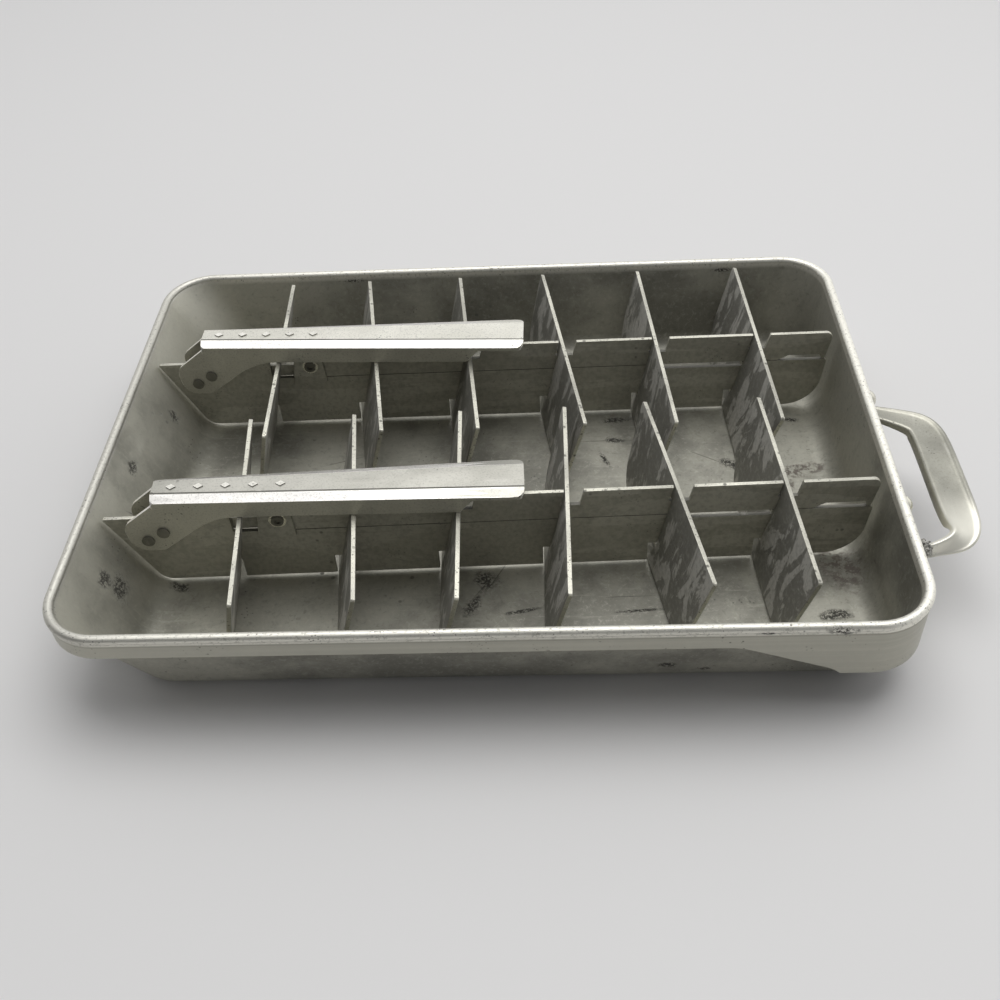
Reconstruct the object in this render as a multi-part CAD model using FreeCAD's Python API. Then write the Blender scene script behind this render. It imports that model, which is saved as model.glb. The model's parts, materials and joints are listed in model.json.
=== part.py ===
"""Double lever ice cube tray: a drawn aluminium pan that holds two loose divider grids.

Millimetres. X runs along the tray towards the handle, Y across it, Z up. The origin lies on the
flat underside of the pan, below the middle of the rim. Each grid is drawn straight along X and
is then turned and set down in its half of the pan.
"""
import FreeCAD, Part
import math
import os
from FreeCAD import Vector

os.makedirs("parts", exist_ok=True)

# Pan: one drawn sheet with a rolled bead and a turned-down skirt
TRAY_LENGTH = 280.0
TRAY_WIDTH = 204.0
TRAY_HEIGHT = 39.0
PAN_SHEET = 1.2
BEAD_DIAMETER = 3.4
RIM_CORNER_RADIUS = 20.0
FLOOR_CORNER_RADIUS = 20.0
FLOOR_EDGE_RADIUS = 9.0
SIDE_DRAFT = 13.5
NOSE_DRAFT = 25.5
HANDLE_END_DRAFT = 6.0
SKIRT_SHEET = 1.0
SKIRT_SETBACK = 0.5
SKIRT_DEPTH = 9.3
APRON_DEPTH = 22.5
APRON_LENGTH = 26.0
APRON_RAMP = 35.0

# Handle: a stamped channel loop on the deep end of the skirt
HANDLE_CENTRE_Y = -27.0
HANDLE_ROOT_SPAN = 76.0
HANDLE_GRIP_SPAN = 57.0
HANDLE_REACH = 25.6
HANDLE_BAND = 13.0
HANDLE_ARM_BAND = 7.0
HANDLE_CORNER_RADIUS = 11.0
HANDLE_SHEET = 1.5
HANDLE_FLANGE = 4.0
HANDLE_BELOW_RIM = 8.0
FOOT_DEPTH = 8.5
FOOT_BELOW_BEAD = 0.3
REAR_FOOT_WIDTH = 20.0
FRONT_FOOT_WIDTH = 33.0
HANDLE_RIVET_PITCH = 57.0
REAR_RIVET_PAST_ROOT = 4.0
HANDLE_RIVET_BELOW_RIM = 9.0
HANDLE_RIVET_SHANK = 3.6
HANDLE_RIVET_HEAD = 7.8
HANDLE_RIVET_DOME = 3.4
HANDLE_RIVET_TAIL = 0.9

# Divider grid: a fixed plate with a strip that slides along its top edge
GRID_SHEET = 1.5
GRID_BELOW_RIM = 1.0
FLOOR_GAP = 1.2
PLATE_ABOVE_FEET = 0.5
END_GAP = 1.9
STRIP_HEIGHT = 12.4
SLIDE_GAP = 0.2
NOSE_BELOW_RIM = 5.2
NOSE_CORNER_RADIUS = 6.0
PLATE_CORNER_RADIUS = 14.0
STRIP_CORNER_RADIUS = 2.5
STRIP_END_SLANT = 2.2
STRIP_RELIEF = 2.2
RELIEF_AFTER_LAST_WALL = 13.0
PLATE_RELIEF = 2.0
STEP_GAP = 1.5
PAD_SHEET = 1.2
PAD_LENGTH = 13.5
PAD_CORNER_DROP = 1.0
PAD_LAP = 2.6

# Cross walls: plates that lean in slots of the plate and the strip
WALL_COUNT = 6
FIRST_SLOT_FROM_NOSE = 41.4
LAST_SLOT_FROM_END = 38.6
WALL_PAST_MIDDLE = 6.1
WALL_END_TAPER = 8.0
WALL_BOTTOM_BRIDGE = 8.5
WALL_TOP_BRIDGE = 5.5
WALL_SIDE_RADIUS = 18.0
WALL_MIDDLE_RADIUS = 13.5
WALL_TOP_RADIUS = 1.0
WALL_SWING = 5.7
SLOT_GAP = 0.35

# Lever, its two pins and the link that pulls the strip
PIVOT_FROM_NOSE = 16.2
PIVOT_BELOW_RIM = 10.9
LINK_PIN_RADIUS = 7.2
LINK_PIN_ANGLE = 31.5
LEVER_SWING = 70.0
LEVER_SHEET = 1.2
LEVER_LENGTH = 125.8
LEVER_FROM_PIVOT = 4.7
LEVER_TOP_ABOVE_RIM = 8.3
LEVER_TIP_ABOVE_RIM = 7.0
LEVER_BEVEL = 1.9
LEVER_TIP_BEVEL = 1.2
LEVER_HALF = 6.0
LEVER_TIP_HALF = 9.4
LEVER_FLAT_HALF = 3.4
LEVER_TIP_FLAT_HALF = 5.8
LEVER_REST_GAP = 0.3
LEVER_LIP = 22.0
LEVER_TIP_RADIUS = 3.5
LOBE_RADIUS = 6.0
LOBE_BELOW_PIVOT = 5.1
EAR_SWEEP = 25.0
EAR_SWEEP_RADIUS = 26.0
EAR_AHEAD = 4.5
EAR_BEHIND = 6.0
EAR_HEEL_BEHIND = 7.5
EAR_HEEL_RISE = 6.5
HEEL_RISE = 5.8
LIP_RISE = 5.0
LIP_SLANT = 4.5
DIAMOND_COUNT = 5
DIAMOND_PITCH = 9.3
DIAMOND_LENGTH = 3.4
DIAMOND_WIDTH = 2.6
DIAMOND_HEIGHT = 0.35
DIAMOND_FROM_HEEL = 6.5
PIVOT_SHANK_RADIUS = 1.7
PIVOT_COLLAR_RADIUS = 3.0
COLLAR_GAP = 0.1
PIN_RADIUS = 1.5
PIN_HEAD_RADIUS = 2.2
PIN_HEAD = 0.5
PIN_FIT = 0.05
HEAD_GAP = 0.12
LINK_SHEET = 1.4
LINK_GAP = 0.1
LINK_HEIGHT = 5.0
LINK_EYE_WALL = 1.6
LINK_DIP = 3.6
LINK_DIP_HALF = 7.5
LINK_BEND_RADIUS = 5.0
STRIP_PIN_FROM_SLOT = 19.7
STRIP_PIN_BELOW_RIM = 7.2
STRIP_PIN_RADIUS = 1.6
STRIP_PIN_HEAD_RADIUS = 2.2
STRIP_PIN_HEAD = 0.6
WASHER_RADIUS = 3.1
WASHER_SHEET = 0.5

# Place of the two grids, and how far their walls stay from the pan's side
FRONT_SPINE_FROM_SIDE = 58.8
BACK_SPINE_FROM_SIDE = 52.7
FRONT_WALL_SIDE_GAP = 11.9
BACK_WALL_SIDE_GAP = 4.5

BEAD_Z = TRAY_HEIGHT - BEAD_DIAMETER / 2
INNER_END = TRAY_LENGTH / 2 - BEAD_DIAMETER
INNER_SIDE = TRAY_WIDTH / 2 - BEAD_DIAMETER
SKIRT_FACE = TRAY_LENGTH / 2 - SKIRT_SETBACK
SPINE_HALF = GRID_SHEET / 2
WALL_FOOT = PAN_SHEET + FLOOR_GAP
SPINE_BOTTOM = WALL_FOOT + PLATE_ABOVE_FEET
GRID_TOP = TRAY_HEIGHT - GRID_BELOW_RIM
STRIP_BOTTOM = GRID_TOP - STRIP_HEIGHT
PLATE_TOP = STRIP_BOTTOM - SLIDE_GAP
WALL_HEIGHT = GRID_TOP - WALL_FOOT

# Each grid stands a little turned about Z, and each of its walls has a turn and a lean of its own
GRIDS = {
    "front": {
        "middle": FRONT_SPINE_FROM_SIDE - INNER_SIDE,
        "shift": -0.2,
        "turn": 1.5,
        "lever_turn": 0.0,
        "wall_low": FRONT_WALL_SIDE_GAP - FRONT_SPINE_FROM_SIDE,
        "wall_high": INNER_SIDE - FRONT_SPINE_FROM_SIDE + WALL_PAST_MIDDLE,
        "wall_radii": (WALL_SIDE_RADIUS, WALL_MIDDLE_RADIUS),
        "wall_turns": [4.1, 4.4, 0.2, -1.7, 8.0, 2.2],
        "wall_leans": [12.6, 14.9, 12.9, 12.4, 12.5, 12.0],
    },
    "back": {
        "middle": INNER_SIDE - BACK_SPINE_FROM_SIDE,
        "shift": -0.6,
        "turn": 0.7,
        "lever_turn": -1.4,
        "wall_low": BACK_SPINE_FROM_SIDE - INNER_SIDE - WALL_PAST_MIDDLE,
        "wall_high": BACK_SPINE_FROM_SIDE - BACK_WALL_SIDE_GAP,
        "wall_radii": (WALL_MIDDLE_RADIUS, WALL_SIDE_RADIUS),
        "wall_turns": [1.4, 7.4, 5.4, 7.7, 3.6, 1.9],
        "wall_leans": [13.6, 14.1, 13.6, 13.0, 11.8, 15.1],
    },
}


def tan(degrees):
    return math.tan(math.radians(degrees))


def sin(degrees):
    return math.sin(math.radians(degrees))


def cos(degrees):
    return math.cos(math.radians(degrees))


def on_xy(a, b):
    return Vector(a, b, 0)


def on_xz(a, b):
    return Vector(a, 0, b)


def on_yz(a, b):
    return Vector(0, a, b)


def rounded_wire(corners, place):
    """Closed wire through (a, b, radius) corners, each radius a tangent arc."""
    points = [Vector(a, b, 0) for a, b, radius in corners]
    stops = []
    for i, (a, b, radius) in enumerate(corners):
        back = (points[i - 1] - points[i]).normalize()
        ahead = (points[(i + 1) % len(points)] - points[i]).normalize()
        if radius == 0:
            stops.append((points[i], None, points[i]))
            continue
        half = back.getAngle(ahead) / 2
        reach = radius / math.tan(half)
        inward = (back + ahead).normalize() * (radius / math.sin(half) - radius)
        stops.append((points[i] + back * reach, points[i] + inward, points[i] + ahead * reach))
    edges = []
    for i, (start, middle, end) in enumerate(stops):
        if middle is not None:
            arc = [place(p.x, p.y) for p in (start, middle, end)]
            edges.append(Part.Arc(*arc).toShape())
        following = stops[(i + 1) % len(stops)][0]
        if end.distanceToPoint(following) > 1e-6:
            edges.append(Part.LineSegment(place(end.x, end.y), place(following.x, following.y)).toShape())
    return Part.Wire(edges)


def prism(corners, place, along):
    return Part.Face(rounded_wire(corners, place)).extrude(along)


def plate_xz(corners, y_low, y_high):
    """Flat plate with an outline in XZ between two Y faces."""
    plate = prism(corners, on_xz, Vector(0, y_high - y_low, 0))
    plate.translate(Vector(0, y_low, 0))
    return plate


def cylinder_y(radius, x, z, y_low, y_high):
    return Part.makeCylinder(radius, y_high - y_low, Vector(x, y_low, z), Vector(0, 1, 0))


def box(low, high):
    size = [high[i] - low[i] for i in range(3)]
    return Part.makeBox(size[0], size[1], size[2], Vector(*low))


# Pan

def inner_left(z):
    return -INNER_END + (BEAD_Z - z) * tan(NOSE_DRAFT)


def inner_right(z):
    return INNER_END - (BEAD_Z - z) * tan(HANDLE_END_DRAFT)


def inner_side(z):
    return INNER_SIDE - (BEAD_Z - z) * tan(SIDE_DRAFT)


def pan_section(z, sheet):
    """Rounded rectangle of the pan wall at one height; sheet 0 is its inner face."""
    left = inner_left(z) - sheet / cos(NOSE_DRAFT)
    right = inner_right(z) + sheet / cos(HANDLE_END_DRAFT)
    side = inner_side(z) + sheet / cos(SIDE_DRAFT)
    rim_share = z / BEAD_Z
    rim_radius = RIM_CORNER_RADIUS - BEAD_DIAMETER
    radius = rim_radius * rim_share + FLOOR_CORNER_RADIUS * (1 - rim_share) + sheet
    corners = [(left, -side, radius), (right, -side, radius), (right, side, radius), (left, side, radius)]
    wire = rounded_wire(corners, on_xy)
    wire.translate(Vector(0, 0, z))
    return wire


def pan_block(floor, top, sheet, edge_radius):
    block = Part.makeLoft([pan_section(floor, sheet), pan_section(top, sheet)], True, True)
    floor_edges = [e for e in block.Edges if abs(e.BoundBox.ZMax - floor) < 0.01]
    return block.makeFillet(edge_radius, floor_edges)


def rim_rectangle(inset, z):
    """Corners of the rim line, moved inwards from the outside of the bead."""
    x = TRAY_LENGTH / 2 - inset
    y = TRAY_WIDTH / 2 - inset
    radius = RIM_CORNER_RADIUS - inset
    wire = rounded_wire([(-x, -y, radius), (x, -y, radius), (x, y, radius), (-x, y, radius)], on_xy)
    wire.translate(Vector(0, 0, z))
    return wire


def make_bead():
    path = rim_rectangle(BEAD_DIAMETER / 2, BEAD_Z)
    start = path.OrderedVertexes[0].Point
    heading = path.OrderedEdges[0].tangentAt(path.OrderedEdges[0].FirstParameter)
    ring = Part.Wire(Part.makeCircle(BEAD_DIAMETER / 2, start, heading))
    return path.makePipeShell([ring], True, True)


def make_skirt():
    """Band below the bead, deeper round the handle end; a ramp joins the two depths."""
    low = TRAY_HEIGHT - APRON_DEPTH
    band = Part.Face(rim_rectangle(SKIRT_SETBACK, low)).extrude(Vector(0, 0, BEAD_Z - low))
    inside = Part.Face(rim_rectangle(SKIRT_SETBACK + SKIRT_SHEET, low)).extrude(Vector(0, 0, BEAD_Z - low))
    shallow = TRAY_HEIGHT - SKIRT_DEPTH
    ramp_end = TRAY_LENGTH / 2 - APRON_LENGTH
    ramp_start = ramp_end - APRON_RAMP
    waste = [(-TRAY_LENGTH, low - 1, 0), (ramp_end, low - 1, 0), (ramp_end, low, 12),
             (ramp_start, shallow, 20), (-TRAY_LENGTH, shallow, 0)]
    return band.cut(inside).cut(plate_xz(waste, -TRAY_WIDTH, TRAY_WIDTH))


def handle_rivets_y():
    rear = HANDLE_CENTRE_Y + HANDLE_ROOT_SPAN / 2 + REAR_RIVET_PAST_ROOT
    return {"rear": rear, "front": rear - HANDLE_RIVET_PITCH}


def rivet_hole(y):
    centre = Vector(SKIRT_FACE - 5, y, TRAY_HEIGHT - HANDLE_RIVET_BELOW_RIM)
    return Part.makeCylinder(HANDLE_RIVET_SHANK / 2 + PIN_FIT, 10, centre, Vector(1, 0, 0))


def make_pan():
    outer = pan_block(0, BEAD_Z, PAN_SHEET, FLOOR_EDGE_RADIUS + PAN_SHEET)
    inner = pan_block(PAN_SHEET, BEAD_Z + BEAD_DIAMETER, 0, FLOOR_EDGE_RADIUS)
    skirt = make_skirt()
    for y in handle_rivets_y().values():
        skirt = skirt.cut(rivet_hole(y))
    return outer.cut(inner).fuse([make_bead(), skirt]).removeSplitter()


# Handle

def handle_band(inset, low, high):
    """Trapezoid band of the handle between two heights, drawn in from all its edges."""
    x_out = TRAY_LENGTH / 2 + HANDLE_REACH - inset
    x_in = TRAY_LENGTH / 2 + HANDLE_REACH - HANDLE_BAND + inset
    root = HANDLE_ROOT_SPAN / 2 - inset
    grip = HANDLE_GRIP_SPAN / 2 - inset
    root_in = HANDLE_ROOT_SPAN / 2 - HANDLE_ARM_BAND + inset
    grip_in = HANDLE_GRIP_SPAN / 2 - HANDLE_ARM_BAND + inset
    y = HANDLE_CENTRE_Y
    radius = HANDLE_CORNER_RADIUS - inset
    radius_in = HANDLE_CORNER_RADIUS / 2 + inset
    outer = [(SKIRT_FACE, y - root, 0), (x_out, y - grip, radius),
             (x_out, y + grip, radius), (SKIRT_FACE, y + root, 0)]
    inner = [(SKIRT_FACE - 1, y - root_in, 0), (x_in, y - grip_in, radius_in),
             (x_in, y + grip_in, radius_in), (SKIRT_FACE - 1, y + root_in, 0)]
    up = Vector(0, 0, high - low)
    band = prism(outer, on_xy, up).cut(prism(inner, on_xy, up))
    band.translate(Vector(0, 0, low))
    return band


def make_foot(y_low, y_high):
    """Flat tab of the handle that lies on the skirt below the bead."""
    top = TRAY_HEIGHT - BEAD_DIAMETER - FOOT_BELOW_BEAD
    corners = [(y_low, top - FOOT_DEPTH, 3), (y_high, top - FOOT_DEPTH, 3), (y_high, top, 3), (y_low, top, 3)]
    foot = prism(corners, on_yz, Vector(HANDLE_SHEET, 0, 0))
    foot.translate(Vector(SKIRT_FACE, 0, 0))
    return foot


def make_handle():
    top = TRAY_HEIGHT - HANDLE_BELOW_RIM
    low = top - HANDLE_FLANGE
    hollow = handle_band(HANDLE_SHEET, low, top - HANDLE_SHEET)
    channel = handle_band(0, low, top).cut(hollow)
    rivets = handle_rivets_y()
    root_low = HANDLE_CENTRE_Y - HANDLE_ROOT_SPAN / 2
    rear_edge = rivets["rear"] + HANDLE_RIVET_HEAD / 2 + 2
    feet = [make_foot(rear_edge - REAR_FOOT_WIDTH, rear_edge),
            make_foot(root_low - 1, root_low - 1 + FRONT_FOOT_WIDTH)]
    handle = channel.fuse(feet).removeSplitter()
    for y in rivets.values():
        handle = handle.cut(rivet_hole(y))
    return handle


def make_handle_rivet(y):
    """Dome outside the foot, shank through foot and skirt, flat tail inside."""
    z = TRAY_HEIGHT - HANDLE_RIVET_BELOW_RIM
    seat = SKIRT_FACE + HANDLE_SHEET
    back = SKIRT_FACE - SKIRT_SHEET
    head = HANDLE_RIVET_HEAD / 2
    radius = (head ** 2 + HANDLE_RIVET_DOME ** 2) / (2 * HANDLE_RIVET_DOME)
    ball = Part.makeSphere(radius, Vector(seat + HANDLE_RIVET_DOME - radius, y, z))
    dome = ball.common(Part.makeCylinder(head + 1, HANDLE_RIVET_DOME + 1, Vector(seat, y, z), Vector(1, 0, 0)))
    shank = Part.makeCylinder(HANDLE_RIVET_SHANK / 2, seat - back, Vector(back, y, z), Vector(1, 0, 0))
    tail = Part.makeCylinder(head - 0.8, HANDLE_RIVET_TAIL, Vector(back, y, z), Vector(-1, 0, 0))
    return dome.fuse([shank, tail]).removeSplitter()


# Divider grid, drawn along X with the middle of its sheet on Y = 0

def pivot():
    return (nose_x(TRAY_HEIGHT - NOSE_BELOW_RIM) + PIVOT_FROM_NOSE, TRAY_HEIGHT - PIVOT_BELOW_RIM)


def nose_x(z):
    return inner_left(z) + END_GAP


def end_x(z):
    return inner_right(z) - END_GAP


def pin_at(turn):
    """Link pin on the lever when the lever has turned up by an angle."""
    x, z = pivot()
    angle = LINK_PIN_ANGLE + turn
    return (x + LINK_PIN_RADIUS * cos(angle), z + LINK_PIN_RADIUS * sin(angle))


def stroke():
    return pin_at(0)[0] - pin_at(LEVER_SWING)[0]


def slot_x(index):
    """Foot of a cross wall; the feet are spaced evenly and only their leans differ."""
    first = nose_x(TRAY_HEIGHT - NOSE_BELOW_RIM) + FIRST_SLOT_FROM_NOSE
    last = end_x(PLATE_TOP) - LAST_SLOT_FROM_END
    return first + (last - first) * index / (WALL_COUNT - 1)


def wall_x(index, lean, z):
    """Middle of a cross wall at one height, at rest."""
    return slot_x(index) + (z - WALL_FOOT) * tan(lean)


def strip_pin():
    return (slot_x(0) + STRIP_PIN_FROM_SLOT, TRAY_HEIGHT - STRIP_PIN_BELOW_RIM)


def link_turn():
    """Angle that the link has turned when the lever is right up."""
    rise = pin_at(LEVER_SWING)[1] - pin_at(0)[1]
    return math.degrees(math.asin(rise / (strip_pin()[0] - pin_at(0)[0])))


def slide_clearance(lean, z):
    """Room that the strip needs past a leaning wall at one height, over the whole stroke."""
    height = z - WALL_FOOT
    wall_travel = height * (tan(lean) - tan(lean - WALL_SWING))
    return stroke() - wall_travel + SLOT_GAP


def half_wall(lean, turn):
    """Half of the wall's thickness along X, with what its turn adds across the spine."""
    return SPINE_HALF / (cos(lean) * cos(turn)) + SPINE_HALF * tan(abs(turn))


def plate_notch(index, lean, turn):
    """Slot up from the plate's lower edge that the wall's bottom bridge stands in."""
    top = WALL_FOOT + WALL_BOTTOM_BRIDGE + 2 * SLOT_GAP
    back = wall_x(index, lean, SPINE_BOTTOM) - half_wall(lean, turn) - SLOT_GAP
    front = wall_x(index, lean, top) + half_wall(lean, turn) + SLOT_GAP
    return box((back, -SPINE_HALF - 1, SPINE_BOTTOM - 1), (front, SPINE_HALF + 1, top))


def strip_notch(index, lean, turn):
    """Slot down from the strip's top edge for the wall's top bridge; its right side slants."""
    low = GRID_TOP - WALL_TOP_BRIDGE - 2 * SLOT_GAP
    half = half_wall(lean, turn)
    left_low = wall_x(index, lean, low) - half - SLOT_GAP
    left_top = wall_x(index, lean, GRID_TOP) - half - SLOT_GAP
    right_low = wall_x(index, lean, low) + half + slide_clearance(lean, low)
    right_top = wall_x(index, lean, GRID_TOP) + half + slide_clearance(lean, low)
    above = GRID_TOP + 1
    corners = [(left_low, low, 0), (right_low, low, 0), (right_top, GRID_TOP, 0), (right_top, above, 0),
               (left_top, above, 0), (left_top, GRID_TOP, 0)]
    return plate_xz(corners, -SPINE_HALF - 1, SPINE_HALF + 1)


def pin_track():
    """Slot over the pivot boss, open at the top, in which the link pin swings."""
    x, z = pivot()
    clear = PIN_RADIUS + SLOT_GAP
    ring = cylinder_y(LINK_PIN_RADIUS + clear, x, z, -2, 2)
    ring = ring.cut(cylinder_y(LINK_PIN_RADIUS - clear, x, z, -2, 2))
    margin = math.degrees(clear / LINK_PIN_RADIUS)
    reach = 3 * LINK_PIN_RADIUS
    wedge = [(x, z, 0)]
    for share in (0, 0.5, 1):
        angle = LINK_PIN_ANGLE + LEVER_SWING * share + margin * (2 * share - 1)
        wedge.append((x + reach * cos(angle), z + reach * sin(angle), 0))
    return ring.common(plate_xz(wedge, -2, 2))


def make_centre_plate(turns, leans):
    nose_top = TRAY_HEIGHT - NOSE_BELOW_RIM
    step = wall_x(0, leans[0], PLATE_TOP) - half_wall(leans[0], turns[0]) - STEP_GAP
    slope_low = SPINE_BOTTOM
    corners = [(nose_x(slope_low), slope_low, NOSE_CORNER_RADIUS),
               (end_x(slope_low), slope_low, PLATE_CORNER_RADIUS),
               (end_x(PLATE_TOP), PLATE_TOP, 1.0),
               (step, PLATE_TOP, 0.8),
               (step, nose_top, 2.0),
               (nose_x(nose_top), nose_top, 0.4)]
    plate = plate_xz(corners, -SPINE_HALF, SPINE_HALF)
    for index in range(WALL_COUNT):
        plate = plate.cut(plate_notch(index, leans[index], turns[index]))
    low_x = wall_x(WALL_COUNT - 2, leans[-2], PLATE_TOP) + 3
    high_x = wall_x(WALL_COUNT - 1, leans[-1], PLATE_TOP) - 1
    plate = plate.cut(box((low_x, -SPINE_HALF - 1, PLATE_TOP - PLATE_RELIEF),
                          (high_x, SPINE_HALF + 1, PLATE_TOP + 1)))
    x, z = pivot()
    return plate.cut([pin_track(), cylinder_y(PIVOT_SHANK_RADIUS + PIN_FIT, x, z, -2, 2)])


def strip_left(lean, turn, z):
    """Left end of the strip at one height; it follows the face of wall 1 when that is tilted up."""
    return wall_x(0, lean, z) + half_wall(lean, turn) + slide_clearance(lean, z)


def make_slide_strip(turns, leans):
    """Upper strip, with a thicker pad at its left end where the link is riveted on."""
    left = strip_left(leans[0], turns[0], STRIP_BOTTOM)
    left_top = strip_left(leans[0], turns[0], GRID_TOP)
    right = end_x(BEAD_Z)
    corners = [(left, STRIP_BOTTOM, 0), (right - STRIP_END_SLANT, STRIP_BOTTOM, 1.0),
               (right, GRID_TOP, STRIP_CORNER_RADIUS), (left_top, GRID_TOP, 0)]
    strip = plate_xz(corners, -SPINE_HALF, SPINE_HALF)
    for index in range(1, WALL_COUNT):
        strip = strip.cut(strip_notch(index, leans[index], turns[index]))
    start = wall_x(WALL_COUNT - 1, leans[-1], STRIP_BOTTOM) + RELIEF_AFTER_LAST_WALL
    end = right - STRIP_END_SLANT - 1
    below = STRIP_BOTTOM - 1
    above = STRIP_BOTTOM + STRIP_RELIEF
    relief = [(start, STRIP_BOTTOM, 0), (start, below, 0), (end, below, 0), (end - 1, above, 0), (start + 4, above, 0)]
    strip = strip.cut(plate_xz(relief, -SPINE_HALF - 1, SPINE_HALF + 1))
    pad = [(left, STRIP_BOTTOM - PAD_LAP, 0), (left + PAD_LENGTH, STRIP_BOTTOM - PAD_LAP, 0.8),
           (left + PAD_LENGTH - 0.8, GRID_TOP - PAD_CORNER_DROP, 2.0), (left_top, GRID_TOP - PAD_CORNER_DROP, 0)]
    strip = strip.fuse(plate_xz(pad, -SPINE_HALF - PAD_SHEET, -SPINE_HALF)).removeSplitter()
    x, z = strip_pin()
    return strip.cut(cylinder_y(STRIP_PIN_RADIUS + PIN_FIT, x, z, -3, 3))


def pin_play():
    """Path of the link pin seen from the link: lowest and highest offsets from its rest place."""
    pin_x, pin_z = pin_at(0)
    hinge_x, hinge_z = strip_pin()
    offsets = []
    for step in range(15):
        share = step / 14
        x, z = pin_at(LEVER_SWING * share)
        dx = x - (hinge_x - stroke() * share)
        dz = z - hinge_z
        turn = link_turn() * share
        offsets.append((dx * cos(turn) - dz * sin(turn) - (pin_x - hinge_x),
                        dx * sin(turn) + dz * cos(turn) - (pin_z - hinge_z)))
    return [(min(o[i] for o in offsets), max(o[i] for o in offsets)) for i in (0, 1)]


def make_link(lean):
    """Flat bar behind the grid sheet; its lever end has a long eye, and it dips under wall 1."""
    y_low = SPINE_HALF + LINK_GAP
    y_high = y_low + LINK_SHEET
    x0, z0 = pin_at(0)
    x1, z1 = strip_pin()
    (left, right), (down, up) = pin_play()
    hole = PIN_RADIUS + 4 * PIN_FIT
    eye = [(x0 + left - hole, z0 + down - hole, hole), (x0 + right + hole, z0 + down - hole, hole),
           (x0 + right + hole, z0 + up + hole, hole), (x0 + left - hole, z0 + up + hole, hole)]
    rim = hole + LINK_EYE_WALL
    head = [(x0 + left - rim, z0 + down - rim, rim), (x0 + right + rim, z0 + down - rim, rim),
            (x0 + right + rim, z0 + up + rim, rim), (x0 + left - rim, z0 + up + rim, rim)]
    half = LINK_HEIGHT / 2
    dip = (z0 + z1) / 2 - LINK_DIP
    before = wall_x(0, lean, dip) - LINK_DIP_HALF
    after = wall_x(0, lean, dip) + LINK_DIP_HALF
    bend = LINK_BEND_RADIUS
    bar = [(x0, z0 + half, 0), (x0, z0 - half, 0), (before, dip - half, bend), (after, dip - half, bend),
           (x1, z1 - half, 0), (x1, z1 + half, 0), (after, dip + half, bend), (before, dip + half, bend)]
    link = plate_xz(bar, y_low, y_high)
    link = link.fuse([plate_xz(head, y_low, y_high), cylinder_y(LINK_HEIGHT / 2 + 1.5, x1, z1, y_low, y_high)])
    link = link.removeSplitter().cut(plate_xz(eye, y_low - 1, y_high + 1))
    return link.cut(cylinder_y(STRIP_PIN_RADIUS + PIN_FIT, x1, z1, y_low - 1, y_high + 1))


def spine_drift(lean, turn, height):
    """Where the spine crosses a turned wall at one height; the lean carries the wall along itself."""
    return -height * sin(lean) * tan(turn)


def make_cross_wall(index, grid):
    """Plate with a window for the spine, tapered to the pan's sides, stood leaning and turned."""
    turn, lean = grid["wall_turns"][index], grid["wall_leans"][index]
    low, high = grid["wall_low"], grid["wall_high"]
    low_radius, high_radius = grid["wall_radii"]
    taper = WALL_HEIGHT * tan(WALL_END_TAPER)
    height = WALL_HEIGHT / cos(lean)
    corners = [(low + taper, 0, low_radius), (high - taper, 0, high_radius),
               (high, height, WALL_TOP_RADIUS), (low, height, WALL_TOP_RADIUS)]
    wall = prism(corners, on_yz, Vector(GRID_SHEET, 0, 0))
    drifts = [spine_drift(lean, turn, height - WALL_TOP_BRIDGE),
              spine_drift(lean - WALL_SWING, turn, WALL_BOTTOM_BRIDGE)]
    slant = SPINE_HALF * tan(abs(turn)) + SLOT_GAP
    slot = SPINE_HALF / cos(turn) + slant
    link_side = SPINE_HALF + LINK_GAP + LINK_SHEET + slant if index == 0 else slot
    window = box((-1, min(drifts) - slot, WALL_BOTTOM_BRIDGE),
                 (GRID_SHEET + 1, max(drifts) + link_side, height - WALL_TOP_BRIDGE))
    wall = wall.cut(window)
    wall.translate(Vector(-GRID_SHEET / 2, 0, 0))
    wall.rotate(Vector(0, 0, 0), Vector(0, 1, 0), lean)
    wall.rotate(Vector(0, 0, 0), Vector(0, 0, 1), turn)
    wall.translate(Vector(slot_x(index), 0, WALL_FOOT))
    return wall


def lever_half(x):
    """Half width of the lever between its outer faces; it widens towards the tip."""
    share = (x - pivot()[0] - LEVER_FROM_PIVOT) / LEVER_LENGTH
    return LEVER_HALF + (LEVER_TIP_HALF - LEVER_HALF) * share


def lever_top(x):
    share = (x - pivot()[0] - LEVER_FROM_PIVOT) / LEVER_LENGTH
    return TRAY_HEIGHT + LEVER_TOP_ABOVE_RIM + (LEVER_TIP_ABOVE_RIM - LEVER_TOP_ABOVE_RIM) * share


def lever_section(x, low):
    """Channel section of the lever at one X: flat top, two bevels, two upright flanges."""
    share = (x - pivot()[0] - LEVER_FROM_PIVOT) / LEVER_LENGTH
    half = lever_half(x)
    flat = LEVER_FLAT_HALF + (LEVER_TIP_FLAT_HALF - LEVER_FLAT_HALF) * share
    top = lever_top(x)
    shoulder = top - LEVER_BEVEL - (LEVER_TIP_BEVEL - LEVER_BEVEL) * share
    inner = half - LEVER_SHEET
    outer_side = [(half, low), (half, shoulder), (flat, top)]
    inner_side_points = [(flat, top - LEVER_SHEET), (inner, shoulder - LEVER_SHEET * 0.7), (inner, low)]
    right_side = outer_side + inner_side_points
    left_side = [(-y, z) for y, z in right_side]
    outline = right_side[:3] + left_side[2::-1] + left_side[:2:-1] + right_side[3:]
    points = [Vector(x, y, z) for y, z in outline]
    return Part.makePolygon(points + points[:1])


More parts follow.
